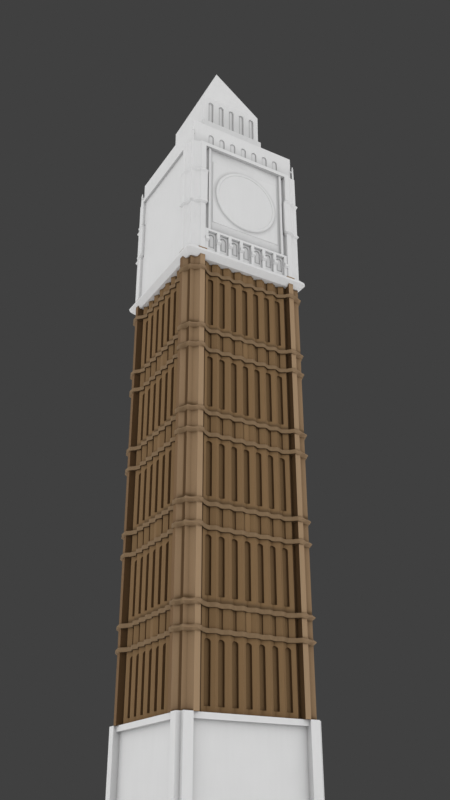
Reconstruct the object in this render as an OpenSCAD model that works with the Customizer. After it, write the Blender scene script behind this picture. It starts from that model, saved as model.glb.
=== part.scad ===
// Clock tower, a scale model at 1:10 of a square tower of stone.
// Origin on the ground at the middle of the plan, +Z up, the clock front facing -Y.
// Lengths in millimetres.

/* [Plan] */
// Width across the pilaster strips, the same on the base and the shaft
tower_w = 1200; // [1140:1:1260]
// Number of bays on each face of the shaft
bay_count = 7; // [5:2:7]
// Distance from the plan's outer corner to the end of the ribbed wall
corner_w = 196.1; // [190:0.1:205]

/* [Base] */
// Height of the base
base_h = 935; // [800:1:1100]
// Side of the square notch down each base corner
base_notch = 39; // [25:1:50]
// Width of the flat strip on each side of a base corner
base_strip_w = 78; // [60:1:90]
// Depth of the plain base panels behind the strips
base_panel_recess = 55; // [35:1:70]
// Depth of the band over the panels behind the strips
base_band_recess = 22; // [10:1:30]
// Height of the band over the panels
base_band_h = 44; // [30:1:70]

/* [Corner buttresses] */
// Depth of the middle corner post behind the strips
post_recess = 38; // [25:1:50]
// Width of each face of the corner post, up to the cove beside it
post_w = 42; // [34:1:48]
// Distance from the plan's outer corner to the start of a strip
strip_inset = 115; // [100:1:120]
// Width of a strip
strip_w = 47; // [40:1:50]
// Depth of the cove between a strip and the corner post
cove_depth = 5; // [2:1:10]
// Height of the head of a strip, which shows over the cornice
head_h = 16; // [10:1:24]
// How far a head stands out of its strip
head_out = 3; // [1:1:6]
// How far a head reaches past each side of its strip
head_side = 18; // [8:1:24]

/* [Shaft walls] */
// Depth of the rib edges behind the strips
rib_recess = 45; // [35:1:60]
// Height of the ribs over the bottom of the valleys
rib_depth = 34; // [20:1:45]
// Width of a niche
niche_w = 53; // [36:1:60]
// Depth of a niche behind the bottom of the valleys
niche_depth = 12; // [6:1:30]
// Distance from the foot of a niche down to the middle of the string course under it
niche_foot_gap = 70; // [50:1:90]
// Distance from the head of a niche up to the middle of the string course over it
niche_head_gap = 50; // [40:1:90]
// Width of the slots in the friezes
slot_w = 32; // [14:1:40]
// Depth of the slots behind the bottom of the valleys
slot_depth = 5; // [3:1:10]
// Width of the plain panel in the middle of each frieze
plain_panel_w = 46; // [30:1:60]
// How far the plain panel stands out of the valley's sides
plain_panel_out = 4; // [2:1:8]

/* [Storeys] */
// Height from one storey of the shaft to the next
storey_h = 773; // [700:1:850]
// Number of storeys
storey_count = 5; // [3:1:6]
// Height from the base up to the middle of the lowest string course
first_storey_h = 561; // [500:1:650]
// Height of a frieze, between the middles of its two string courses
frieze_h = 188; // [150:1:230]
// Height from the top string course to the underside of the cornice
top_frieze_h = 112; // [85:1:130]

/* [String courses] */
// Height of the flat band along a wall
band_h = 38; // [30:1:46]
// Height of the pointed bead round a corner
corner_bead_h = 46; // [36:1:56]
// Height of the blunt edge of that bead
corner_edge_h = 6; // [3:1:12]
// How far a string course stands out
string_out = 18; // [12:1:24]
// How far it stands out where a band meets the edge of a strip
string_end_out = 8; // [4:1:11]

/* [Cornice] */
// Distance of the foot of the cornice inside the strips
cornice_foot_in = 25; // [15:1:36]
// How far the cornice stands out over the strips
cornice_out = 21; // [12:1:40]
// Height of the sloping underside
cornice_slope_h = 49; // [40:1:80]
// Height of the upright edge
cornice_edge_h = 15; // [8:1:40]
// Height of the sloping ledge on top
cornice_ledge_h = 34; // [15:1:40]
// Depth of the sloping ledge on top
cornice_ledge_w = 28; // [10:1:40]
// Width of the flat on each corner
cornice_corner_w = 34; // [20:1:44]

/* [Clock stage] */
// Height of the clock stage
stage_h = 1218; // [1150:1:1400]
// Depth of the middle corner post behind the strips
stage_post_recess = 27; // [15:1:38]
// Depth of the wall beside the clock frame behind the strips
stage_gap_recess = 48; // [46:1:80]
// Depth of the blank side walls behind the strips
side_wall_recess = 24; // [10:1:35]
// Height of the top moulding
top_moulding_h = 38; // [30:1:80]
// Height of a pier collar's foot over the stage's foot
collar_z = 489; // [450:1:540]
// Height of a collar with its beads
collar_h = 405; // [360:1:440]
// How far a collar stands out of the pier's faces
collar_out = 4; // [2:1:8]
// How far a collar stands out beside the strips
collar_side_out = 18; // [12:1:24]
// How far the pointed bead at each end of a collar stands out
bead_out = 17; // [10:1:24]
// Height of a bead
bead_h = 46; // [30:1:60]

/* [Clock front] */
// Distance from a pier's strip to the frame strip beside the clock panel
frame_gap = 38; // [30:1:44]
// Width of the upright frame strip on each side of the panel
frame_w = 24; // [16:1:28]
// Depth of the frame strips behind the strips of the piers
frame_recess = 14; // [6:1:20]
// Depth of the clock panel behind the strips
panel_recess = 35; // [32:1:40]
// Distance from the dial's ring to the side of the clock panel
dial_margin = 53; // [45:1:70]
// Width of the dial's ring
ring_w = 32; // [20:1:40]
// How far the square plate reaches outside the dial's ring
plate_margin = 28; // [20:1:34]
// Thickness of the square plate behind the dial
plate_t = 6; // [3:1:9]
// Thickness of the dial
dial_t = 12; // [6:1:15]
// How far the ring stands out over the dial's face
ring_out = 4; // [2:1:12]

/* [Arcade] */
// Height of the arcade under the clock
arcade_h = 232; // [225:1:240]
// Depth of the arcade behind the strips
arcade_front_recess = 8; // [4:1:14]
// Width of the plain end of the arcade beside each pier, past half a rib
arcade_end = 19; // [10:1:30]
// Width of a rib between two recesses
arcade_rib_w = 31.7; // [24:0.1:40]
// Height of a recess
arcade_recess_h = 210; // [180:1:220]
// Depth of a recess
arcade_recess_depth = 26; // [8:1:30]
// Width of the arched niche in each recess
arcade_niche_w = 60; // [44:1:70]
// Height of the niche's foot over the stage's foot
arcade_niche_z = 50; // [35:1:55]
// Height of the arched niche in each recess
arcade_niche_h = 143; // [120:1:170]
// Depth of the arched niche behind its recess
arcade_niche_depth = 10; // [5:1:12]
// Width of the pointed boss on each rib
boss_w = 36; // [32:1:44]
// Height of a boss
boss_h = 56; // [40:1:70]
// Height of a boss's middle over the stage's foot
boss_z = 117; // [90:1:140]
// How far a boss stands out of its rib
boss_out = 20; // [10:1:28]

/* [Attic] */
// Height of the attic
attic_h = 272; // [220:1:300]
// Distance of the attic inside the strips
attic_in = 53; // [40:1:70]
// Thickness of the attic walls
attic_t = 70; // [50:1:90]
// Thickness of the attic deck
deck_t = 60; // [40:1:90]
// Width of an attic niche
attic_niche_w = 56; // [36:1:64]
// Height of an attic niche
attic_niche_h = 146; // [80:1:180]
// Depth of an attic niche
attic_niche_depth = 9; // [4:1:20]
// Height of a niche's foot over the attic's foot
attic_niche_z = 18; // [10:1:40]
// Height of a corner pinnacle under its tip
pinnacle_h = 128; // [115:1:160]
// Width of a pinnacle at its foot
pinnacle_w = 20; // [14:1:21]
// Width of a pinnacle under its tip
pinnacle_neck_w = 15; // [8:1:16]
// Height of the pointed tip of a pinnacle
pinnacle_tip_h = 40; // [20:1:60]
// Width of a pinnacle at its point
pinnacle_point_w = 4; // [2:1:7]
// Distance of a pinnacle's middle inside the strips
pinnacle_in = 38; // [37:1:41]
// Width of the raking strut from a pinnacle to the attic
strut_w = 12; // [8:1:14]
// Height of the strut's section
strut_h = 13; // [8:1:18]
// Height of the strut's lower end at the pinnacle over the stage's top
strut_z = 90; // [70:1:100]
// Rise of the strut from the pinnacle to the attic
strut_rise = 22; // [10:1:30]

/* [Belfry] */
// Width of the belfry block
belfry_w = 636; // [600:1:660]
// Height of the belfry block over its plinth
belfry_h = 342; // [300:1:400]
// Thickness of the belfry walls
belfry_t = 60; // [50:1:90]
// How far the plinth stands out round the belfry
plinth_out = 21; // [10:1:30]
// Height of the plinth over the attic deck
plinth_h = 508; // [460:1:560]
// Number of niches on each clock side of the belfry
belfry_niche_count = 5; // [3:2:5]
// Width of the plain end beside the outer bays of niches
belfry_end = 20; // [10:1:40]
// Width of a belfry niche
belfry_niche_w = 56; // [40:1:64]
// Height of a belfry niche
belfry_niche_h = 256; // [200:1:280]
// Depth of a belfry niche
belfry_niche_depth = 13; // [6:1:30]
// Height of a niche's foot over the plinth
belfry_niche_z = 25; // [15:1:40]

/* [Roof] */
// Height of the pyramid roof
roof_h = 762; // [600:1:900]
// Thickness of the roof, measured along the ground
roof_t = 50; // [40:1:80]

/* [Hidden] */

$fn = 48;
brown = "#957a5e";
white = "#d2d2d2";
// How far a cut runs past the face that it opens
cut = 10;
// Flats on each cove beside a corner post
cove_flats = 8;
// Half of a pitch or a row, as a share
half_share = 0.5;
// Height of the dial's centre over the foot of the clock panel, as a share of the panel's height
dial_centre_share = 0.487;
// Height of a boss's flat front, as a share of the boss
boss_front_share = 0.4;

half_w = tower_w / 2;
wall_half = half_w - corner_w;
bay_pitch = 2 * wall_half / bay_count;
first_string_z = base_h + first_storey_h;
base_panel_y = half_w - base_panel_recess;
base_strip_in = half_w - base_notch - base_strip_w;
rib_y = half_w - rib_recess;
valley_y = rib_y - rib_depth;
strip_start = half_w - strip_inset;
strip_end = strip_start - strip_w;
rib_slope_share = rib_depth / (bay_pitch * half_share);
shaft_top = first_string_z + (storey_count - 1) * storey_h + top_frieze_h;
stage_z = shaft_top + cornice_slope_h + cornice_edge_h + cornice_ledge_h;
stage_top = stage_z + stage_h;
moulding_z = stage_top - top_moulding_h;
gap_y = half_w - stage_gap_recess;
frame_out = strip_end - frame_gap;
panel_half = frame_out - frame_w;
panel_foot = stage_z + arcade_h;
panel_y = half_w - panel_recess;
plate_y = panel_y + plate_t;
dial_y = plate_y + dial_t;
dial_r = panel_half - dial_margin;
dial_centre_z = panel_foot + (moulding_z - panel_foot) * dial_centre_share;
arcade_y = half_w - arcade_front_recess;
arcade_pitch = 2 * (strip_end - arcade_end) / bay_count;
arcade_recess_w = arcade_pitch - arcade_rib_w;
collar_foot = stage_z + collar_z;
collar_top = collar_foot + collar_h;
attic_half = half_w - attic_in;
deck_half = attic_half - attic_t;
plinth_half = belfry_w / 2 + plinth_out;
belfry_half = belfry_w / 2;
belfry_inner = belfry_half - belfry_t;
belfry_pitch = 2 * (belfry_half - belfry_end) / belfry_niche_count;
plinth_z = stage_top + deck_t;
belfry_z = plinth_z + plinth_h;
roof_z = belfry_z + belfry_h;
side_angles = [0, 90, 180, 270];

// Places of a row of count things about the middle
function row(count, pitch) = [for (i = [0 : count - 1]) (i - (count - 1) * half_share) * pitch];

// Heights of the middles of the string courses, from the lowest up
function string_z(i) = first_string_z + floor((i - 1) / 2) * storey_h + ((i - 1) % 2) * frieze_h;

// The cove between a strip and the corner post, from the strip to the post's face
function cove(half, recess) = let (
    run = strip_inset - recess - post_w,
    chord = norm([run, recess])
) [
    for (i = [0 : cove_flats])
        let (t = i / cove_flats, sink = 4 * cove_depth * t * (1 - t) / chord)
        [half - strip_inset + run * t - recess * sink, half - recess * t - run * sink]
];

// A line up to the diagonal, and on from there as its mirror image
function both_ways(side) = concat(side, [for (i = [len(side) - 2 : -1 : 0]) [side[i][1], side[i][0]]]);

// Outline of the corner in the quarter where X and Y are positive, from the wall on the +Y face
// round to the wall on the +X face, with its outer faces and the sides of its strips moved out
function corner_line(out, side_out, recess, wall_y) = let (
    half = half_w + out,
    strip = [[strip_end - side_out, wall_y], [strip_end - side_out, half]]
) both_ways(concat(strip, cove(half, recess), [[half - recess, half - recess]]));

// The same corner of the shaft and of the clock stage
function buttress_line() = corner_line(0, 0, post_recess, rib_line(strip_end));
function pier_line(out, side_out) = corner_line(out, side_out, stage_post_recess, gap_y);

// The front of a string course round a corner of the shaft, with a point for each point of the
// corner: from the wall to the edge of the strip, and straight from the strip to the post
function bead_line() = let (
    wall_end = [wall_half, rib_y + string_out],
    strip_edge = [strip_end - string_end_out * half_share, half_w + string_end_out],
    strip_corner = [strip_start, half_w + string_out],
    post_corner = [1, 1] * (half_w - post_recess + string_out),
    steps = cove_flats + 1,
    over_cove = [for (i = [0 : steps]) strip_corner + (post_corner - strip_corner) * i / steps]
) both_ways(concat([(wall_end + strip_edge) * half_share, strip_edge], over_cove));

// Depth of the ribbed wall at a place along it, where a rib stands at each end of a bay
function rib_line(x) = let (
    steps = abs(x) / bay_pitch + (bay_count % 2) * half_share,
    from_rib = abs(steps - round(steps))
) rib_y - from_rib * bay_pitch * rib_slope_share;

// Outline of the ribbed wall on the +Y face, from -X to +X, moved out by the given amount
function wall_line(out) = [
    for (i = [0 : 2 * bay_count])
        let (x = (i - bay_count) * bay_pitch * half_share)
        [x, rib_line(x) + out]
];

// A ring round the whole shaft from the lines of one wall and one corner: the wall and the first and
// last two points of the corner lie at the one height, the rest of the corner at the other
function shaft_ring(wall, corner, wall_z, corner_z) = let (
    last = len(corner) - 1,
    heights = [for (i = [0 : last]) min(i, last - i) < 2 ? wall_z : corner_z],
    wall_points = [for (p = wall) [p[0], p[1], wall_z]],
    corner_points = [for (i = [0 : last]) [corner[i][0], corner[i][1], heights[i]]]
) [
    for (angle = side_angles, p = concat(wall_points, corner_points))
        [p[0] * cos(angle) + p[1] * sin(angle), p[1] * cos(angle) - p[0] * sin(angle), p[2]]
];

// A line at a height
function raised(line, z) = [for (p = line) [p[0], p[1], z]];

// Puts what stands on the -Y face on the given face
module on_side(angle) {
    rotate([0, 0, angle]) children();
}

// A box from one corner to the other
module span(low, high) {
    translate(low) cube(high - low);
}

// A niche with a round head, as a cut into the -Y face from depth_y out to front_y
module arched_cut(x, z, w, h, depth_y, front_y) {
    translate([x, -depth_y, z])
        rotate([90, 0, 0])
            linear_extrude(front_y - depth_y) {
                translate([-w / 2, 0]) square([w, h - w / 2]);
                translate([0, h - w / 2]) circle(d = w);
            }
}

// A square block with an outline of [half width, height] points, the same on all four sides
module square_turned(points) {
    outline = concat(points, [for (i = [len(points) - 1 : -1 : 0]) [-points[i][0], points[i][1]]]);
    reach = 2 * max([for (p = points) p[0]]) + cut;
    intersection() {
        rotate([90, 0, 0]) linear_extrude(reach, center = true) polygon(outline);
        rotate([90, 0, 90]) linear_extrude(reach, center = true) polygon(outline);
    }
}

// The same block with its four corners cut to flats of the given width
module cut_corners(points, flat_w) {
    intersection() {
        square_turned(points);
        rotate([0, 0, 45]) square_turned([for (p = points) [p[0] * sqrt(2) - flat_w / 2, p[1]]]);
    }
}

// A moulding from the lines that its edges follow, in order round its section,
// closed all the way round or with two flat ends
module moulding(rings, closed) {
    count = len(rings[0]);
    ring_count = len(rings);
    points = [for (ring = rings, p = ring) p];
    sides = [
        for (r = [0 : ring_count - 1], k = [0 : count - (closed ? 1 : 2)])
            let (next = (r + 1) % ring_count, after = (k + 1) % count, low = r * count, high = next * count)
            for (side = [[low + k, high + k, high + after], [low + k, high + after, low + after]])
                side
    ];
    first_end = [for (r = [ring_count - 1 : -1 : 0]) r * count];
    last_end = [for (r = [0 : ring_count - 1]) r * count + count - 1];
    polyhedron(points, closed ? sides : concat(sides, [first_end, last_end]));
}

// Base

module base_corner_piers() {
    notch_in = half_w - base_notch;
    outline = [
        [wall_half, wall_half], [base_panel_y, wall_half], [base_panel_y, base_strip_in],
        [half_w, base_strip_in], [half_w, notch_in], [notch_in, notch_in], [notch_in, half_w],
        [base_strip_in, half_w], [base_strip_in, base_panel_y], [wall_half, base_panel_y]
    ];
    color(white)
        for (angle = side_angles)
            on_side(angle) linear_extrude(base_h) polygon(outline);
}

module base_wall(angle) {
    band_y = half_w - base_band_recess;
    color(white)
        on_side(angle) {
            span([-wall_half, -base_panel_y, 0], [wall_half, -wall_half, base_h]);
            span([-base_strip_in, -band_y, base_h - base_band_h], [base_strip_in, -base_panel_y, base_h]);
        }
}

// Shaft

// The heads of the two strips of a corner, up to the given height
module strip_heads(top_z) {
    low = [strip_end - head_side, half_w - post_recess, stage_z - head_h];
    high = [strip_start + head_side, half_w + head_out, top_z];
    span(low, high);
    span([low[1], low[0], low[2]], [high[1], high[0], high[2]]);
}

module buttress(angle) {
    outline = concat(
        [[wall_half, wall_half], [wall_half, rib_y]],
        buttress_line(),
        [[rib_y, wall_half]]
    );
    color(brown)
        on_side(angle) {
            translate([0, 0, base_h]) linear_extrude(stage_z - base_h) polygon(outline);
            strip_heads(stage_z);
        }
}

// Heights of the foot and the top of the frieze over a storey, between its string courses
function frieze_foot(storey) = string_z(2 * storey + 1) + band_h / 2;
function frieze_top(storey) = min(string_z(2 * storey + 2) - band_h / 2, shaft_top);

// Height that the slots of a frieze are cut to, past the top of the wall in the top frieze
function slot_top(storey) = frieze_top(storey) < shaft_top ? frieze_top(storey) : shaft_top + cut;

module shaft_wall(angle) {
    outline = concat([[wall_half, wall_half], [-wall_half, wall_half]], wall_line(0));
    places = row(bay_count, bay_pitch);
    storeys = [0 : storey_count - 1];
    niche_h = storey_h - frieze_h - niche_foot_gap - niche_head_gap;
    plain_y = rib_line(plain_panel_w / 2) + plain_panel_out;
    color(brown)
        on_side(angle) {
            difference() {
                rotate([0, 0, 180])
                    translate([0, 0, base_h])
                        linear_extrude(shaft_top - base_h) polygon(outline);
                for (storey = storeys, x = places)
                    arched_cut(x, string_z(2 * storey + 1) - niche_head_gap - niche_h, niche_w, niche_h,
                        valley_y - niche_depth, half_w);
                for (storey = storeys, x = places)
                    if (x != 0)
                        span([x - slot_w / 2, -half_w, frieze_foot(storey)],
                            [x + slot_w / 2, slot_depth - valley_y, slot_top(storey)]);
            }
            for (storey = storeys)
                span([-plain_panel_w / 2, -plain_y, frieze_foot(storey)],
                    [plain_panel_w / 2, -wall_half, frieze_top(storey)]);
        }
}

// A string course runs round the whole shaft: a flat band over the ribs of each wall,
// and a pointed bead over the strips and the post of each corner
module string_course(i) {
    wall = wall_line(0);
    band = wall_line(string_out);
    corner = buttress_line();
    bead = bead_line();
    color(brown)
        translate([0, 0, string_z(i)])
            moulding([
                shaft_ring(wall, corner, -band_h / 2, -corner_bead_h / 2),
                shaft_ring(band, bead, -band_h / 2, -corner_edge_h / 2),
                shaft_ring(band, bead, band_h / 2, corner_edge_h / 2),
                shaft_ring(wall, corner, band_h / 2, corner_bead_h / 2)
            ], true);
}

// Cornice

module cornice() {
    edge = half_w + cornice_out;
    edge_z = shaft_top + cornice_slope_h;
    ledge_z = edge_z + cornice_edge_h;
    hole = [[wall_half, shaft_top - cut], [wall_half, stage_z + cut]];
    corner = concat(
        [[wall_half - cut, wall_half - cut], [wall_half - cut, rib_y], [wall_half, rib_y]],
        buttress_line(),
        [[rib_y, wall_half], [rib_y, wall_half - cut]]
    );
    color(white)
        difference() {
            cut_corners([
                [half_w - cornice_foot_in, shaft_top], [edge, edge_z], [edge, ledge_z],
                [edge - cornice_ledge_w, stage_z]
            ], cornice_corner_w);
            square_turned(hole);
            for (angle = side_angles)
                on_side(angle) {
                    translate([0, 0, shaft_top - cut])
                        linear_extrude(stage_z - shaft_top + 2 * cut) polygon(corner);
                    strip_heads(stage_z + cut);
                }
        }
}

// Clock stage

module stage_pier(angle) {
    outline = concat([[wall_half, wall_half], [wall_half, gap_y]], pier_line(0, 0), [[gap_y, wall_half]]);
    color(white)
        on_side(angle)
            translate([0, 0, stage_z]) linear_extrude(stage_h) polygon(outline);
}

// A collar with a pointed bead at each end clasps the outside of each corner pier
module pier_collars() {
    pier = pier_line(0, 0);
    bead = pier_line(bead_out, collar_side_out);
    collar = pier_line(collar_out, collar_side_out);
    color(white)
        for (angle = side_angles)
            on_side(angle)
                moulding([
                    raised(pier, collar_foot),
                    raised(bead, collar_foot + bead_h / 2),
                    raised(collar, collar_foot + bead_h),
                    raised(collar, collar_top - bead_h),
                    raised(bead, collar_top - bead_h / 2),
                    raised(pier, collar_top)
                ], false);
}

module clock_wall(angle) {
    color(white)
        on_side(angle)
            span([-wall_half, -gap_y, stage_z], [wall_half, -wall_half, moulding_z]);
}

// A side wall with no clock, plain from pier to pier and cut back for the collars
module side_wall(angle) {
    side_y = half_w - side_wall_recess;
    color(white)
        on_side(angle)
            difference() {
                union() {
                    span([-wall_half, -gap_y, stage_z], [wall_half, -wall_half, moulding_z]);
                    span([-strip_end, -side_y, stage_z], [strip_end, -gap_y, moulding_z]);
                }
                for (flip = [0, 1])
                    mirror([flip, 0, 0])
                        span([strip_end - collar_side_out, -half_w, collar_foot],
                            [half_w, -gap_y, collar_top]);
            }
}

// The clock panel with its two frame strips and the square plate behind the dial
module clock_panel(angle) {
    frame_y = half_w - frame_recess;
    plate_half = dial_r + plate_margin;
    color(white)
        on_side(angle) {
            span([-panel_half, -panel_y, panel_foot], [panel_half, -gap_y, moulding_z]);
            span([-plate_half, -plate_y, dial_centre_z - plate_half],
                [plate_half, -gap_y, dial_centre_z + plate_half]);
            for (flip = [0, 1])
                mirror([flip, 0, 0])
                    span([panel_half, -frame_y, panel_foot], [frame_out, -gap_y, moulding_z]);
        }
}

// A round plate on the clock front from one depth to another
module on_dial(angle, from_y, to_y) {
    on_side(angle)
        translate([0, -from_y, dial_centre_z])
            rotate([90, 0, 0])
                linear_extrude(to_y - from_y) children();
}

module dial(angle) {
    color(white) on_dial(angle, plate_y, dial_y) circle(r = dial_r - ring_w);
}

module dial_ring(angle) {
    color(white)
        on_dial(angle, plate_y, dial_y + ring_out)
            difference() {
                circle(r = dial_r);
                circle(r = dial_r - ring_w);
            }
}

// A boss with a blunt point on a rib of the arcade, from the recess floor out
module boss(x, floor_y) {
    front_half = boss_h * boss_front_share / 2;
    translate([x - boss_w / 2, 0, stage_z + boss_z])
        rotate([90, 0, 90])
            linear_extrude(boss_w)
                polygon([
                    [-floor_y, -boss_h / 2], [-floor_y, boss_h / 2], [-arcade_y, boss_h / 2],
                    [-arcade_y - boss_out, front_half], [-arcade_y - boss_out, -front_half],
                    [-arcade_y, -boss_h / 2]
                ]);
}

module arcade(angle) {
    floor_y = arcade_y - arcade_recess_depth;
    end_x = strip_end - boss_w / 2;
    color(white)
        on_side(angle) {
            difference() {
                span([-strip_end, -arcade_y, stage_z], [strip_end, -gap_y, panel_foot]);
                for (x = row(bay_count, arcade_pitch)) {
                    span([x - arcade_recess_w / 2, -half_w, stage_z - cut],
                        [x + arcade_recess_w / 2, -floor_y, stage_z + arcade_recess_h]);
                    arched_cut(x, stage_z + arcade_niche_z, arcade_niche_w, arcade_niche_h,
                        floor_y - arcade_niche_depth, half_w);
                }
            }
            for (x = concat([-end_x], row(bay_count - 1, arcade_pitch), [end_x]))
                boss(x, floor_y);
        }
}

module top_mouldings() {
    color(white)
        for (angle = side_angles)
            on_side(angle) {
                span([-wall_half, -half_w, moulding_z], [wall_half, -wall_half, stage_top]);
                span([-strip_end, -half_w, moulding_z], [strip_end, -gap_y, stage_top]);
            }
}

// Attic

module attic_parapet() {
    color(white)
        difference() {
            span([-attic_half, -attic_half, stage_top], [attic_half, attic_half, stage_top + attic_h]);
            span([-deck_half, -deck_half, stage_top - cut],
                [deck_half, deck_half, stage_top + attic_h + cut]);
            for (angle = [0, 180], x = row(bay_count, arcade_pitch))
                on_side(angle)
                    arched_cut(x, stage_top + attic_niche_z, attic_niche_w, attic_niche_h,
                        attic_half - attic_niche_depth, half_w);
        }
}

module attic_deck() {
    color(white) span([-deck_half, -deck_half, stage_top], [deck_half, deck_half, plinth_z]);
}

// Each pinnacle stands on a pier, held to the corner of the attic by a raking strut
module pinnacles() {
    place = half_w - pinnacle_in;
    foot = place * sqrt(2);
    head = attic_half * sqrt(2) - strut_w;
    strut_top = strut_z + strut_rise;
    color(white)
        for (angle = side_angles)
            on_side(angle)
                translate([0, 0, stage_top]) {
                    translate([place, place, 0]) {
                        cylinder(d1 = pinnacle_w, d2 = pinnacle_neck_w, h = pinnacle_h);
                        translate([0, 0, pinnacle_h])
                            cylinder(d1 = pinnacle_w, d2 = pinnacle_point_w, h = pinnacle_tip_h);
                    }
                    difference() {
                        rotate([90, 0, 45])
                            linear_extrude(strut_w, center = true)
                                polygon([
                                    [head, strut_top], [foot, strut_z],
                                    [foot, strut_z + strut_h], [head, strut_top + strut_h]
                                ]);
                        span([-attic_half, -attic_half, 0], [attic_half, attic_half, attic_h]);
                    }
                }
}

// Belfry and roof

module belfry_plinth() {
    color(white)
        difference() {
            span([-plinth_half, -plinth_half, plinth_z], [plinth_half, plinth_half, belfry_z]);
            span([-belfry_inner, -belfry_inner, plinth_z - cut],
                [belfry_inner, belfry_inner, belfry_z + cut]);
        }
}

module belfry_walls() {
    color(white)
        difference() {
            span([-belfry_half, -belfry_half, belfry_z], [belfry_half, belfry_half, roof_z]);
            span([-belfry_inner, -belfry_inner, belfry_z - cut],
                [belfry_inner, belfry_inner, roof_z + cut]);
            for (angle = [0, 180], x = row(belfry_niche_count, belfry_pitch))
                on_side(angle)
                    arched_cut(x, belfry_z + belfry_niche_z, belfry_niche_w, belfry_niche_h,
                        belfry_half - belfry_niche_depth, half_w);
        }
}

module roof() {
    inner_share = (belfry_half - roof_t) / belfry_half;
    color(white)
        difference() {
            square_turned([[belfry_half, roof_z], [0, roof_z + roof_h]]);
            translate([0, 0, roof_z]) scale(inner_share)
                square_turned([[belfry_half, 0], [0, roof_h]]);
        }
}

base_corner_piers();
base_wall(0);  // base_front_wall
base_wall(90);  // base_right_wall
base_wall(180);  // base_back_wall
base_wall(270);  // base_left_wall
buttress(0);  // buttress_back_right
buttress(90);  // buttress_back_left
buttress(180);  // buttress_front_left
buttress(270);  // buttress_front_right
shaft_wall(0);  // shaft_front_wall
shaft_wall(90);  // shaft_right_wall
shaft_wall(180);  // shaft_back_wall
shaft_wall(270);  // shaft_left_wall
for (i = [1 : 2 * storey_count - 1])
    string_course(i);
cornice();
stage_pier(0);  // stage_pier_back_right
stage_pier(90);  // stage_pier_back_left
stage_pier(180);  // stage_pier_front_left
stage_pier(270);  // stage_pier_front_right
pier_collars();
clock_wall(0);  // clock_wall_front
clock_wall(180);  // clock_wall_back
side_wall(90);  // stage_right_wall
side_wall(270);  // stage_left_wall
clock_panel(0);  // clock_panel_front
clock_panel(180);  // clock_panel_back
dial(0);  // dial_front
dial(180);  // dial_back
dial_ring(0);  // dial_ring_front
dial_ring(180);  // dial_ring_back
arcade(0);  // arcade_front
arcade(180);  // arcade_back
top_mouldings();
attic_parapet();
attic_deck();
pinnacles();
belfry_plinth();
belfry_walls();
roof();
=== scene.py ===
import math

import bmesh
import bpy
from mathutils.bvhtree import BVHTree
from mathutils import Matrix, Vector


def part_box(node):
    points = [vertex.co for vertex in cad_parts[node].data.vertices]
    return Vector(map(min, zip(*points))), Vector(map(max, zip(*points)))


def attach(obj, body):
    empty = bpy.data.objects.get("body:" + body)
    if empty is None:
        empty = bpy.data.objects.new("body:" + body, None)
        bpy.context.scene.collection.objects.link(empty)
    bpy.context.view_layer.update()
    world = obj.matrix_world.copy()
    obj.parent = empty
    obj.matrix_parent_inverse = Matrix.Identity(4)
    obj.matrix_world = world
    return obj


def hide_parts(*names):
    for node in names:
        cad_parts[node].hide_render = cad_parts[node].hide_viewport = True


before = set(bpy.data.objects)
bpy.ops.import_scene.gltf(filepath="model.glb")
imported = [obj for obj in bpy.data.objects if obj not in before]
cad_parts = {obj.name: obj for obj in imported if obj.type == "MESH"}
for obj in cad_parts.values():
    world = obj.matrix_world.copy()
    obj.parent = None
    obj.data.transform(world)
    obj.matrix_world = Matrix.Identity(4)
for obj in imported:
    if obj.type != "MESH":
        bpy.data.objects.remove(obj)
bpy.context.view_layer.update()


# Base: four notched corner piers with plain walls between them, under a low band.
# It is ashlar of a pale limestone, sawn and rubbed smooth and laid with joints too
# fine to see. Painted shade darkens the walls where the piers shelter them.
class Wire:
    """An output of a material's nodes. Sums on it add Math nodes.

    A wire with no socket is the start of a tree, from which its first nodes are made.
    """

    def __init__(self, tree, socket=None):
        self.tree = tree
        self.socket = socket

    def node(self, kind, settings, sockets, output=0):
        """Adds a node, sets its settings, then its sockets, and gives one of its outputs."""
        made = self.tree.nodes.new(kind)
        for name, value in settings.items():
            setattr(made, name, value)
        for name, value in sockets.items():
            if isinstance(value, Wire):
                self.tree.links.new(value.socket, made.inputs[name])
            else:
                made.inputs[name].default_value = value
        return Wire(self.tree, made.outputs[output])

    def maths(self, operation, first, second):
        """One of the Math node's operations on two values."""
        return self.node("ShaderNodeMath", {"operation": operation}, {0: first, 1: second})

    def blend(self, share, first, second):
        """A colour that goes from the first to the second as the share goes from 0 to 1.

        The sockets go by number, because a Mix node has one of each name for every type.
        """
        return self.node("ShaderNodeMix", {"data_type": "RGBA"}, {0: share, 6: first, 7: second}, 2)

    def ramp(self, low, high):
        """A mask that goes from 0 to 1 as this value goes from low to high."""
        return self.node("ShaderNodeMapRange", {}, {"Value": self, "From Min": low, "From Max": high})

    def length_ramp(self, low, high):
        """A mask that goes from 0 to 1 as the length whose square this is goes from low to high."""
        return self.ramp(low ** 2, high ** 2)

    def place(self):
        """Where a point of the surface is, in metres in the tower's frame."""
        return self.node("ShaderNodeTexCoord", {}, {}, "Object")

    def normal(self):
        """The way that the surface looks at a point."""
        return self.node("ShaderNodeTexCoord", {}, {}, "Normal")

    def parts(self, names):
        """The named parts of this vector."""
        return [self.node("ShaderNodeSeparateXYZ", {}, {"Vector": self}, name) for name in names]

    def __add__(self, other):
        return self.maths("ADD", self, other)

    __radd__ = __add__

    def __mul__(self, other):
        return self.maths("MULTIPLY", self, other)

    __rmul__ = __mul__

    def __sub__(self, other):
        return self.maths("SUBTRACT", self, other)

    def __rsub__(self, other):
        return self.maths("SUBTRACT", other, self)


def shade_of(colour, share):
    """The same colour made lighter or darker, as a socket takes it."""
    return tuple(channel * share for channel in colour) + (1.0,)


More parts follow.
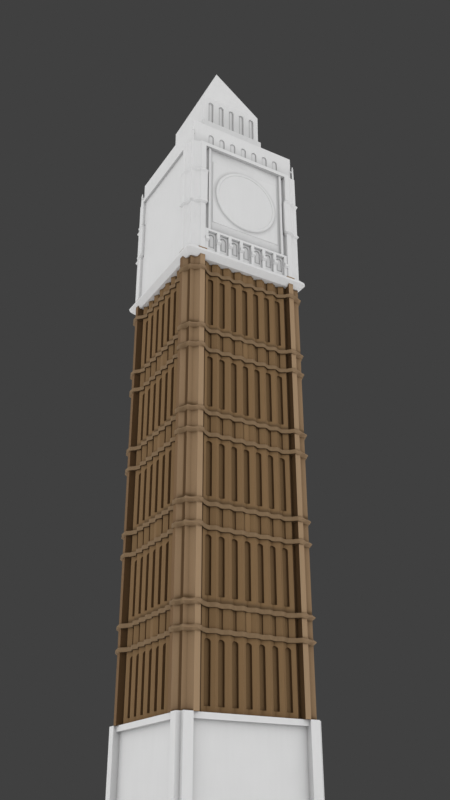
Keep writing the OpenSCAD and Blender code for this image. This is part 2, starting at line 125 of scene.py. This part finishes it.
def clouded(colour, shade):
    """The colour a little darker where the shade is low and lighter where it is high."""
    spread = 0.07
    return shade.blend(shade, shade_of(colour, 1 - spread), shade_of(colour, 1 + spread))


def stone(name, clean, painted_shade_colour, crease_share, shelter_share, roughness=0.8, crease_reach=0.022, patches=()):
    """A smooth stone: clouded, streaked by rain, finely grained, with painted shade in creases and sheltered
    hollows.

    Each of the patches is a colour and a function that gives the mask of where the stone has it.
    """
    cloud_size = 0.35
    cloud_detail = 5.0
    cloud_share = 0.5
    streak_size = 0.03
    streak_stretch = 10
    streak_share = 0.3
    grain_size = 0.004
    grain_detail = 2.0
    grain_share = 0.2
    grain_middle = 0.5
    grain_depth = 0.0005
    grain_strength = 0.2
    roughness_spread = 0.2
    shade_samples = 16
    shelter_reach = 0.16
    gloss = 0.15
    material = bpy.data.materials.new(name)
    material.use_nodes = True
    tree = material.node_tree
    shader = tree.nodes["Principled BSDF"]
    start = Wire(tree)
    place = start.place()
    drawn_down = start.node("ShaderNodeMapping", {}, {"Vector": place, "Scale": (1, 1, 1 / streak_stretch)})
    clouds = start.node("ShaderNodeTexNoise", {},
                        {"Vector": place, "Scale": 1 / cloud_size, "Detail": cloud_detail})
    streaks = start.node("ShaderNodeTexNoise", {}, {"Vector": drawn_down, "Scale": 1 / streak_size})
    grain = start.node("ShaderNodeTexNoise", {},
                       {"Vector": place, "Scale": 1 / grain_size, "Detail": grain_detail})
    shade = clouds * cloud_share + streaks * streak_share + grain * grain_share
    body = clouded(clean, shade)
    for patch_colour, mask in patches:
        body = start.blend(mask(start), body, clouded(patch_colour, shade))
    # Painted shade: two reaches of ambient occlusion darken the colour towards the shade colour in creases
    # and in sheltered hollows.
    near, far = [
        start.node("ShaderNodeAmbientOcclusion", {"samples": shade_samples}, {"Distance": reach}, "AO")
        for reach in (crease_reach, shelter_reach)
    ]
    painted_shade_share = (1 - near) * crease_share + (1 - far) * shelter_share
    colour = start.blend(painted_shade_share, body, shade_of(painted_shade_colour, 1.0))
    rough = roughness + (grain - grain_middle) * roughness_spread
    bump = start.node("ShaderNodeBump", {},
                      {"Strength": grain_strength, "Distance": grain_depth, "Height": grain})
    tree.links.new(colour.socket, shader.inputs["Base Color"])
    tree.links.new(rough.socket, shader.inputs["Roughness"])
    tree.links.new(bump.socket, shader.inputs["Normal"])
    shader.inputs["Specular IOR Level"].default_value = gloss
    return material


def dress(names, material):
    """Gives CAD nodes a material."""
    for name in names:
        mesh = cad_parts[name].data
        mesh.materials.clear()
        mesh.materials.append(material)


SIDES = ("front", "right", "back", "left")
BASE_PALE = (0.735, 0.735, 0.735)
# The colour that painted shade darkens the pale stone towards.
PALE_PAINTED_SHADE = (0.05, 0.05, 0.053)
base_stone = stone("base_stone", BASE_PALE, PALE_PAINTED_SHADE, crease_share=0.1, shelter_share=0.6)
dress(["base_corner_piers"] + ["base_%s_wall" % side for side in SIDES], base_stone)


# Corner buttresses: upright strips with a hollowed corner post between them, from the
# base to the cornice. They are dressed blocks of a light brown sandstone, bonded into
# the walls, with painted shade in the coves, on the faces that look to the sides, on
# the returns and just over the string courses.
CORNERS = ("front_left", "front_right", "back_right", "back_left")
BROWN = (0.345, 0.233, 0.137)
# Painted shade in the coves and on the posts.
COVE_SHADE_BROWN = (0.285, 0.187, 0.105)
# Painted shade on the faces that look to the left and to the right.
SIDE_SHADE_BROWN = (0.19, 0.112, 0.055)
# Painted shade on the returns, and on the sides and heads of niches and slots.
RETURN_SHADE_BROWN = (0.1, 0.055, 0.023)
# Painted shade just over the string courses.
OVER_STRING_SHADE_BROWN = (0.15, 0.095, 0.048)
# The colour that painted shade darkens the brown stone towards.
BROWN_PAINTED_SHADE = (0.085, 0.047, 0.02)
# Distances from the tower's middle to the faces of the strips and of the posts.
STRIP_FACE = 0.6
POST_FACE = 0.562
FACE_ROOM = 0.001
FADE_WIDTH = 0.01
# Painted shade over a string course is whole up to the first height over it, and ends at the second.
OVER_STRING_SHADE_FOOT = 0.012
OVER_STRING_SHADE_HEAD = 0.034
# The string courses stand in pairs, with one alone at the top.
STRING_COUNT = 9
string_names = ["string_course_%d" % i for i in range(1, STRING_COUNT + 1)]
lower_strings = string_names[::2]
upper_strings = string_names[1::2]


def head_of(name):
    """The height of a CAD node's highest point."""
    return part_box(name)[1][2]


def in_coves(start):
    """The coves and the posts between the strips, deeper than the strips' faces, where shade is painted."""
    x, y = start.place().parts("XY")
    return start.maths("MAXIMUM", x * x, y * y).length_ramp(STRIP_FACE - FACE_ROOM, POST_FACE)


def on_sides(start):
    """The outer faces of the strips and the posts that look to the left and to the right, painted darker as
    painted shade.
    """
    slanting = 0.7
    straight = 1
    x, = start.place().parts("X")
    normal_x, = start.normal().parts("X")
    looks_aside = (normal_x * normal_x).ramp(slanting, straight)
    return looks_aside * (x * x).length_ramp(POST_FACE - 2 * FADE_WIDTH, POST_FACE - FADE_WIDTH)


def on_returns(start):
    """The sides of the posts, and the inner returns of the strips, which look back along a wall, where shade
    is painted.
    """
    inward = -0.2
    x, y = start.place().parts("XY")
    normal_x, normal_y = start.normal().parts("XY")
    outward = x * normal_x + y * normal_y
    behind_strip = (x * x).length_ramp(POST_FACE + 2 * FADE_WIDTH, POST_FACE + FADE_WIDTH / 2)
    return start.maths("MAXIMUM", outward.ramp(0, inward), on_sides(start) * behind_strip)


def over_strings(start):
    """The stone just over the upper string course of each pair, where shade is painted."""
    z, = start.place().parts("Z")
    heads = [head_of(name) for name in upper_strings]
    return sum(start.maths("GREATER_THAN", z, head) * z.ramp(head + OVER_STRING_SHADE_HEAD, head + OVER_STRING_SHADE_FOOT)
               for head in heads)


def over_beads(start):
    """The coves just over the upper string course of each pair, where shade is painted."""
    return over_strings(start) * in_coves(start)


buttress_stone = stone("buttress_stone", BROWN, BROWN_PAINTED_SHADE, crease_share=1.2, shelter_share=1.6,
                       patches=[(COVE_SHADE_BROWN, in_coves), (SIDE_SHADE_BROWN, on_sides),
                                (OVER_STRING_SHADE_BROWN, over_beads), (RETURN_SHADE_BROWN, on_returns)])
buttresses = ["buttress_" + corner for corner in CORNERS]
dress(buttresses, buttress_stone)


# Shaft walls: V-shaped ribs with a round-headed niche in each bay, and slotted friezes
# between the storeys. The same sandstone, a deeper brown here between the buttresses.
# Painted shade darkens the friezes, the backs of the niches, the sides of niches and
# slots, and the stone just over the string courses.
WALL_BROWN = (0.228, 0.14, 0.067)
# Painted shade on the backs of the niches.
NICHE_SHADE_BROWN = (0.19, 0.116, 0.055)
# Painted shade on the friezes between the string courses.
FRIEZE_SHADE_BROWN = (0.208, 0.128, 0.061)
# Painted shade on the sides of the slots.
SLOT_SHADE_BROWN = (0.17, 0.1, 0.047)
# Distance from the tower's middle to the bottoms of the valleys between the ribs.
VALLEY_FACE = 0.521
# The slots end before the first depth behind the valleys, and the niches past the second.
SLOT_REACH = 0.006
NICHE_REACH = 0.01
PLAIN_PANEL_HALF = 0.0235


def foot_of(name):
    """The height of a CAD node's lowest point."""
    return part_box(name)[0][2]


def on_niche_backs(start):
    """The backs of the niches, which lie deeper than the slots, where shade is painted."""
    x, y = start.place().parts("XY")
    from_middle = start.maths("MAXIMUM", x * x, y * y)
    return from_middle.length_ramp(VALLEY_FACE - SLOT_REACH, VALLEY_FACE - NICHE_REACH)


def on_clock_sides(start):
    """The front and the back of the tower."""
    x, y = start.place().parts("XY")
    return start.maths("GREATER_THAN", y * y, x * x)


def on_niche_sides(start):
    """The sides and heads of niches and slots, but not their sills.

    They are the faces that look neither out of their wall nor up.
    """
    looks_out = 0.5
    looks_along = 0.2
    looks_up = 0.6
    looks_level = 0.3
    normal_x, normal_y, normal_z = start.normal().parts("XYZ")
    on_front = on_clock_sides(start)
    out = normal_y * normal_y * on_front + normal_x * normal_x * (1 - on_front)
    return out.ramp(looks_out, looks_along) * normal_z.ramp(looks_up, looks_level)


def in_friezes(start):
    """The friezes between the string courses of each pair, but not the plain panel in their middle, where
    shade is painted.
    """
    x, y, z = start.place().parts("XYZ")
    beside_panel = start.maths("GREATER_THAN", start.maths("MINIMUM", x * x, y * y), PLAIN_PANEL_HALF ** 2)
    pairs = zip(lower_strings, upper_strings)
    between = sum(start.maths("GREATER_THAN", z, head_of(lower)) * start.maths("LESS_THAN", z, foot_of(upper))
                  for lower, upper in pairs)
    return beside_panel * between


def on_slot_sides(start):
    """The sides of the slots in the friezes, where deeper shade is painted."""
    return on_niche_sides(start) * in_friezes(start)


wall_stone = stone("wall_stone", WALL_BROWN, BROWN_PAINTED_SHADE, crease_share=0.7, shelter_share=0.3,
                   roughness=0.85, crease_reach=0.03,
                   patches=[(FRIEZE_SHADE_BROWN, in_friezes), (NICHE_SHADE_BROWN, on_niche_backs),
                            (OVER_STRING_SHADE_BROWN, over_strings), (RETURN_SHADE_BROWN, on_niche_sides),
                            (SLOT_SHADE_BROWN, on_slot_sides)])
shaft_walls = ["shaft_%s_wall" % side for side in SIDES]
dress(shaft_walls, wall_stone)


# String courses: nine moulded bands that run round the shaft, flat over the ribs of the
# walls and pointed round the corners. They are cut from light brown sandstone in lengths,
# with the front arrises rubbed round.
STRING_BROWN = (0.225, 0.149, 0.083)
# Painted light on the corner beads that look to the front and the back.
BEAD_LIT_BROWN = (0.262, 0.174, 0.1)
# Painted shade on the undersides of the bands.
UNDERSIDE_SHADE_BROWN = (0.045, 0.025, 0.01)
WAVE_ROUND = 0.02
WAVE_SEGMENTS = 4
STRING_ROUND = 0.005
STRING_SEGMENTS = 2
# The blunt edge of a corner bead lies this close to the middle of its course, and isn't rounded.
BEAD_REACH = 0.01
# The painted light on the beads begins at the first distance past a wall's end, and is whole at the second.
BEAD_START = 0.02
BEAD_FULL = 0.04
# Places closer together than this count as the same.
EDGE_ROOM = 0.001


def half_width_of(name):
    """The distance from the tower's middle to a CAD node's right side."""
    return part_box(name)[1][0]


wall_half = half_width_of("shaft_front_wall")


def at_corners(start):
    """The beads round the corners."""
    x, y = start.place().parts("XY")
    from_middle = start.maths("MINIMUM", x * x, y * y)
    return from_middle.length_ramp(wall_half + BEAD_START, wall_half + BEAD_FULL)


def on_front_corners(start):
    """The beads round the corners, on the front and on the back of the tower, which are painted lighter as
    painted light.
    """
    return at_corners(start) * on_clock_sides(start)


def looks_down(start):
    """The faces that look straight down."""
    slanting = -0.8
    straight = -0.95
    normal_z, = start.normal().parts("Z")
    return normal_z.ramp(slanting, straight)


def on_undersides(start):
    """The undersides of the bands along the walls, where shade is painted."""
    return looks_down(start) * (1 - at_corners(start))


def seat_finder(names):
    """Gives a test of whether a place lies on one of the named CAD nodes."""
    seat_room = 0.0005
    trees = []
    for name in names:
        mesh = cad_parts[name].data
        places = [vertex.co for vertex in mesh.vertices]
        trees.append(BVHTree.FromPolygons(places, [face.vertices[:] for face in mesh.polygons]))
    return lambda place: any(tree.find_nearest(place, seat_room)[0] is not None for tree in trees)


def rounded_copy(name, material, rounds):
    """Makes a copy of a CAD node with edges rounded, which takes the node's place.

    Each of the rounds is a size, a number of segments and a test of the edges that it takes.
    """
    merge_size = 0.00001
    flat_angle = math.radians(1)
    sharp_angle = math.radians(12)
    smooth_angle = math.radians(50)
    shape = bmesh.new()
    shape.from_mesh(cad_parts[name].data)
    bmesh.ops.remove_doubles(shape, verts=shape.verts, dist=merge_size)
    bmesh.ops.dissolve_limit(shape, angle_limit=flat_angle, verts=shape.verts, edges=shape.edges)
    for size, segments, takes in rounds:
        edges = [edge for edge in shape.edges if edge.calc_face_angle(0) > sharp_angle and takes(edge)]
        bmesh.ops.bevel(shape, geom=edges, offset=size, affect="EDGES", segments=segments,
                        profile=0.5, material=-1, clamp_overlap=True)
    mesh = bpy.data.meshes.new(name + "_rounded")
    shape.to_mesh(mesh)
    shape.free()
    mesh.shade_smooth()
    mesh.set_sharp_from_angle(angle=smooth_angle)
    mesh.materials.append(material)
    piece = bpy.data.objects.new(name + "_rounded", mesh)
    bpy.context.scene.collection.objects.link(piece)
    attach(piece, "root")
    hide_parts(name)


is_on_shaft = seat_finder(buttresses + shaft_walls)
string_stone = stone("string_stone", STRING_BROWN, BROWN_PAINTED_SHADE, crease_share=0.2, shelter_share=0.3,
                     patches=[(BEAD_LIT_BROWN, on_front_corners), (UNDERSIDE_SHADE_BROWN, on_undersides)])


def is_upright(edge):
    first, second = edge.verts
    return (first.co - second.co).xy.length < EDGE_ROOM


def is_on_wave(edge):
    """Whether an upright edge is on the front of a band, over a rib or a valley of the wall."""
    place = edge.verts[0].co
    return min(abs(place.x), abs(place.y)) < wall_half - EDGE_ROOM and not is_on_shaft(place)


for string_name in string_names:
    middle = (foot_of(string_name) + head_of(string_name)) / 2
    rounded_copy(string_name, string_stone, [
        (WAVE_ROUND, WAVE_SEGMENTS, lambda edge: is_upright(edge) and is_on_wave(edge)),
        (STRING_ROUND, STRING_SEGMENTS, lambda edge: not is_upright(edge) and all(
            abs(vertex.co.z - middle) > BEAD_REACH and not is_on_shaft(vertex.co) for vertex in edge.verts)),
    ])


# Cornice: a broad sloping course under the clock stage, with a narrow upright edge and
# a weathered ledge. It is of the pale limestone, bedded on the shaft walls.
PALE = (0.70, 0.70, 0.70)
cornice_stone = stone("cornice_stone", PALE, PALE_PAINTED_SHADE, crease_share=0.15, shelter_share=0.05)
dress(["cornice"], cornice_stone)


# Clock stage: four corner piers with walls between them, plain on two sides, and a
# moulding under the attic. All are smooth ashlar of the pale limestone, with painted
# shade on the undersides.
CLOCK_SIDES = ("front", "back")
# Painted shade on the faces that look down.
UNDERSIDE_SHADE_PALE = (0.56, 0.56, 0.56)
stage_stone = stone("stage_stone", PALE, PALE_PAINTED_SHADE, crease_share=0.25, shelter_share=0.22,
                    patches=[(UNDERSIDE_SHADE_PALE, looks_down)])
dress(["stage_pier_" + corner for corner in CORNERS], stage_stone)
dress(["stage_left_wall", "stage_right_wall", "top_mouldings"], stage_stone)
clock_wall_stone = stone("clock_wall_stone", PALE, PALE_PAINTED_SHADE, crease_share=0.02, shelter_share=0.02)
dress(["clock_wall_" + side for side in CLOCK_SIDES], clock_wall_stone)


# Pier collars: a shallow band with a pointed bead at each end clasps every pier beside
# the dial. They are carved from the pale limestone with soft edges.
COLLAR_ROUND = 0.009
COLLAR_SEGMENTS = 3
collar_stone = stone("collar_stone", PALE, PALE_PAINTED_SHADE, crease_share=0.35, shelter_share=0.25)
collar_foot = foot_of("pier_collars")
collar_head = head_of("pier_collars")
rounded_copy("pier_collars", collar_stone, [
    (COLLAR_ROUND, COLLAR_SEGMENTS, lambda edge: all(
        collar_foot + EDGE_ROOM < vertex.co.z < collar_head - EDGE_ROOM for vertex in edge.verts)),
])


# Clock panels: a sunk panel with an upright strip on each side and a thin square plate
# behind the dial, one on the front and one on the back. Pale limestone slabs, with the
# plate's edge rubbed round, and painted shade beside the strips and round the dial.
# Painted shade on the panel beside the upright strips.
STRIP_SHADE_GREY = (0.5, 0.5, 0.5)
# Painted shade on the plate round the dial's ring.
RING_SHADE_GREY = (0.57, 0.57, 0.57)
FRAME_STRIP_WIDTH = 0.024
STRIP_REACH = 0.03
RING_REACH = 0.035
PLATE_ROUND = 0.0055
PLATE_SEGMENTS = 4
panel_half = half_width_of("clock_panel_front") - FRAME_STRIP_WIDTH
plate_face = min(abs(corner[1]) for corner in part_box("dial_front"))
ring_radius = half_width_of("dial_ring_front")
ring_height = (foot_of("dial_ring_front") + head_of("dial_ring_front")) / 2


def beside_strips(start):
    """The panel close to the upright strips, where shade is painted."""
    x, = start.place().parts("X")
    inside = start.maths("LESS_THAN", x * x, panel_half ** 2)
    return inside * (x * x).length_ramp(panel_half - STRIP_REACH, panel_half)


def round_dial(start):
    """The plate close round the dial's ring, where shade is painted."""
    x, z = start.place().parts("XZ")
    from_middle = x * x + (z - ring_height) * (z - ring_height)
    return from_middle.length_ramp(ring_radius + RING_REACH, ring_radius)


def is_on_plate_face(edge):
    return all(abs(abs(vertex.co.y) - plate_face) < EDGE_ROOM for vertex in edge.verts)


panel_stone = stone("panel_stone", PALE, PALE_PAINTED_SHADE, crease_share=0.2, shelter_share=0.04, crease_reach=0.035,
                    patches=[(STRIP_SHADE_GREY, beside_strips), (RING_SHADE_GREY, round_dial)])
for side in CLOCK_SIDES:
    rounded_copy("clock_panel_" + side, panel_stone, [
        (PLATE_ROUND, PLATE_SEGMENTS, is_on_plate_face),
    ])


# Dials: plain round faces of white glazed ware, each in a ring of the pale limestone
# with a rounded section, which holds it on its plate.
DIAL_WHITE = (0.7, 0.7, 0.7)
RING_ROUND = 0.014
RING_SEGMENTS = 4
RING_INNER_ROUND = 0.006
RING_INNER_SEGMENTS = 2
ring_front = max(abs(corner[1]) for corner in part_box("dial_ring_front"))


def is_on_ring_front(edge):
    return all(abs(vertex.co.y) > ring_front - EDGE_ROOM for vertex in edge.verts)


def is_on_ring_rim(edge):
    place = edge.verts[0].co
    return math.hypot(place.x, place.z - ring_height) > ring_radius - EDGE_ROOM


dial_glaze = stone("dial_glaze", DIAL_WHITE, PALE_PAINTED_SHADE, crease_share=0.05, shelter_share=0.2, roughness=0.5)
dress(["dial_" + side for side in CLOCK_SIDES], dial_glaze)
ring_stone = stone("ring_stone", PALE, PALE_PAINTED_SHADE, crease_share=0.1, shelter_share=0.2, roughness=0.7)
for side in CLOCK_SIDES:
    rounded_copy("dial_ring_" + side, ring_stone, [
        (RING_ROUND, RING_SEGMENTS, lambda edge: is_on_ring_front(edge) and is_on_ring_rim(edge)),
        (RING_INNER_ROUND, RING_INNER_SEGMENTS,
         lambda edge: is_on_ring_front(edge) and not is_on_ring_rim(edge)),
    ])


# Arcades: a row of sunk bays with round-headed niches under each clock panel, and a
# bluntly pointed boss on every rib between them. They are carved in the pale limestone,
# with painted shade along one side and the sill of every niche.
ARCADE_PITCH = 0.1197
# Painted shade along the left sides and the sills of the niches.
ARCADE_NICHE_SHADE_GREY = (0.45, 0.45, 0.45)
# A plane between the floors of the bays and the backs of the niches, from the tower's middle.
ARCADE_NICHE_PLANE = 0.561
# Painted shade starts at the first distance to the left of a bay's middle, and is whole at the second.
LEFT_SHADE_START = 0.004
LEFT_SHADE_FULL = 0.012
# Height of the niches' sills over the arcade's foot.
ARCADE_SILL = 0.05
# Painted shade on the back of a niche is whole up to the first height over its sill, and ends at the second.
SILL_SHADE_FULL = 0.016
SILL_SHADE_END = 0.024
sill_height = foot_of("arcade_front") + ARCADE_SILL


def in_arcade_niches(start):
    """The backs of the arcade's niches, along their left sides and their sills, where shade is painted."""
    x, y, z = start.place().parts("XYZ")
    is_back = start.maths("LESS_THAN", y * y, ARCADE_NICHE_PLANE ** 2)
    bay_middle = ARCADE_PITCH / 2
    along_bay = start.maths("FLOORED_MODULO", x + bay_middle, ARCADE_PITCH)
    on_left = along_bay.ramp(bay_middle - LEFT_SHADE_START, bay_middle - LEFT_SHADE_FULL)
    over_sill = z.ramp(sill_height + SILL_SHADE_END, sill_height + SILL_SHADE_FULL)
    return is_back * start.maths("MAXIMUM", on_left, over_sill)


arcade_stone = stone("arcade_stone", PALE, PALE_PAINTED_SHADE, crease_share=0.8, shelter_share=0.2, crease_reach=0.008,
                     patches=[(ARCADE_NICHE_SHADE_GREY, in_arcade_niches)])
dress(["arcade_" + side for side in CLOCK_SIDES], arcade_stone)


# Attic: a parapet with a row of niches on the clock sides, a flat deck behind it, and
# a slim pinnacle on each corner pier. They are of the pale limestone, with painted shade
# at the parapet's foot and in the backs of its niches, and a painted highlight on the
# niches' sides.
# Painted highlight: the sides of the niches are painted lighter than the stone, against the painted shade of
# their creases.
JAMB_HIGHLIGHT_PALE = (0.9, 0.9, 0.9)
# Painted shade in the backs of the niches, close to their sides.
ATTIC_RIM_SHADE_GREY = (0.5, 0.5, 0.5)
# Painted shade at the parapet's foot.
ATTIC_FOOT_SHADE_GREY = (0.54, 0.54, 0.54)
ATTIC_RIM_WIDTH = 0.013
ATTIC_SHADE_HEIGHT = 0.14
NICHE_HALF = 0.028
# Stone deeper behind a wall's face than this is the back of a niche.
NICHE_BACK_DEPTH = 0.004
CORNER_ROOM = 0.01
# The painted shade at a wall's foot fades from this share of the way to the corner.
CORNER_FADE_SHARE = 0.75


def rims_of_niches(pitch, width, face):
    """Gives the mask of the backs of niches in a row, close to their sides, where shade is painted."""
    def mask(start):
        x, y = start.place().parts("XY")
        is_behind = start.maths("LESS_THAN", y * y, (face - NICHE_BACK_DEPTH) ** 2)
        sunk = is_behind * start.maths("LESS_THAN", x * x, (face - CORNER_ROOM) ** 2)
        from_middle = start.maths("PINGPONG", x, pitch / 2)
        return sunk * from_middle.ramp(NICHE_HALF - width, NICHE_HALF - width / 2)
    return mask


def at_foot(foot, head, face):
    """Gives the mask of painted shade on the clock sides, which fades from the foot to the head and to the
    corners.
    """
    def mask(start):
        x, z = start.place().parts("XZ")
        off_corners = (x * x).length_ramp(face, face * CORNER_FADE_SHARE)
        return on_clock_sides(start) * z.ramp(head, foot) * off_corners
    return mask


attic_face = half_width_of("attic_parapet")
attic_foot = foot_of("attic_parapet")
attic_shade_head = attic_foot + ATTIC_SHADE_HEIGHT
attic_stone = stone("attic_stone", PALE, PALE_PAINTED_SHADE, crease_share=0.4, shelter_share=0.4, crease_reach=0.018,
                    patches=[(ATTIC_FOOT_SHADE_GREY, at_foot(attic_foot, attic_shade_head, attic_face)),
                             (ATTIC_RIM_SHADE_GREY, rims_of_niches(ARCADE_PITCH, ATTIC_RIM_WIDTH, attic_face)),
                             (JAMB_HIGHLIGHT_PALE, on_niche_sides)])
dress(["attic_parapet", "attic_deck", "pinnacles"], attic_stone)


# Belfry: a square block with five niches on the clock sides, on a plinth that stands on
# the attic deck. Both are ashlar of the pale limestone, and the block has painted shade
# towards its foot and in the backs of its niches, and a painted highlight on the niches' sides.
PLINTH_PALE = (0.65, 0.65, 0.65)
# Painted shade in the backs of the niches, close to their sides.
BELFRY_RIM_SHADE_GREY = (0.44, 0.44, 0.44)
# Painted shade towards the block's foot.
BELFRY_FOOT_SHADE_GREY = (0.6, 0.6, 0.6)
BELFRY_RIM_WIDTH = 0.021
BELFRY_NICHE_PITCH = 0.1192
# The painted shade is whole up to the first height over the block's foot, and ends the second under its top.
BELFRY_SHADE_HEIGHT = 0.12
BELFRY_UNSHADED_HEIGHT = 0.02
belfry_face = half_width_of("belfry_walls")
belfry_shade_foot = foot_of("belfry_walls") + BELFRY_SHADE_HEIGHT
belfry_shade_head = head_of("belfry_walls") - BELFRY_UNSHADED_HEIGHT
belfry_stone = stone("belfry_stone", PALE, PALE_PAINTED_SHADE, crease_share=0.3, shelter_share=0.3, crease_reach=0.02,
                     patches=[(BELFRY_FOOT_SHADE_GREY, at_foot(belfry_shade_foot, belfry_shade_head, belfry_face)),
                              (BELFRY_RIM_SHADE_GREY,
                               rims_of_niches(BELFRY_NICHE_PITCH, BELFRY_RIM_WIDTH, belfry_face)),
                              (JAMB_HIGHLIGHT_PALE, on_niche_sides)])
dress(["belfry_walls"], belfry_stone)
plinth_stone = stone("plinth_stone", PLINTH_PALE, PALE_PAINTED_SHADE, crease_share=0.3, shelter_share=0.2)
dress(["belfry_plinth"], plinth_stone)


# Roof: a steep pyramid over the belfry, with its eaves flush with the walls. It is of
# pale stone slabs, laid with close joints.
ROOF_PALE = (0.69, 0.69, 0.69)
roof_stone = stone("roof_stone", ROOF_PALE, PALE_PAINTED_SHADE, crease_share=0.25, shelter_share=0.2)
dress(["roof"], roof_stone)


# Floor: a plain pale sheet that the tower stands on, far wider than the view. It isn't
# part of the object.
FLOOR_SIZE = 80
FLOOR_PALE = (0.9, 0.9, 0.9, 1)
floor_shape = bmesh.new()
bmesh.ops.create_grid(floor_shape, x_segments=1, y_segments=1, size=FLOOR_SIZE / 2)
floor_mesh = bpy.data.meshes.new("floor")
floor_shape.to_mesh(floor_mesh)
floor_shape.free()
floor_material = bpy.data.materials.new("floor")
floor_material.use_nodes = True
floor_material.node_tree.nodes["Principled BSDF"].inputs["Base Color"].default_value = FLOOR_PALE
floor_mesh.materials.append(floor_material)
floor = bpy.data.objects.new("floor", floor_mesh)
bpy.context.scene.collection.objects.link(floor)


# Light: an even dome of white light round the tower. The camera and reflections see a
# plain dark grey in its place.
DOME_WHITE = (1, 1, 1, 1)
DOME_STRENGTH = 1.0
BACKDROP_GREY = (0.0513, 0.0513, 0.0513, 1)
BACKDROP_STRENGTH = 1.0
world = bpy.data.worlds.new("studio")
bpy.context.scene.world = world
world.use_nodes = True
world.node_tree.nodes.clear()
sky = Wire(world.node_tree)
seen_by_camera = sky.node("ShaderNodeLightPath", {}, {}, "Is Camera Ray")
seen_in_gloss = sky.node("ShaderNodeLightPath", {}, {}, "Is Glossy Ray")
seen_through = sky.node("ShaderNodeLightPath", {}, {}, "Is Transmission Ray")
seen = sky.maths("MAXIMUM", seen_by_camera, sky.maths("MAXIMUM", seen_in_gloss, seen_through))
dome = sky.node("ShaderNodeBackground", {}, {"Color": DOME_WHITE, "Strength": DOME_STRENGTH})
backdrop = sky.node("ShaderNodeBackground", {}, {"Color": BACKDROP_GREY, "Strength": BACKDROP_STRENGTH})
mixed = sky.node("ShaderNodeMixShader", {}, {0: seen, 1: dome, 2: backdrop})
world_output = world.node_tree.nodes.new("ShaderNodeOutputWorld")
world.node_tree.links.new(mixed.socket, world_output.inputs["Surface"])


# Camera: near the ground in front of the tower and to its left, looking up. It is
# fitted to the upright edges of the corner buttresses.
CAMERA_PLACE = (-3.4216, -6.1090, 0.150)
CAMERA_RISE = 0.46621
CAMERA_TURN = -0.52395
CAMERA_LENS = 35
CAMERA_SENSOR = 32
camera_data = bpy.data.cameras.new("camera")
camera_data.lens = CAMERA_LENS
camera_data.sensor_width = CAMERA_SENSOR
camera = bpy.data.objects.new("camera", camera_data)
camera.location = CAMERA_PLACE
camera.rotation_euler = (math.pi / 2 + CAMERA_RISE, 0, CAMERA_TURN)
bpy.context.scene.collection.objects.link(camera)
bpy.context.scene.camera = camera
bpy.context.scene.view_settings.view_transform = "Standard"
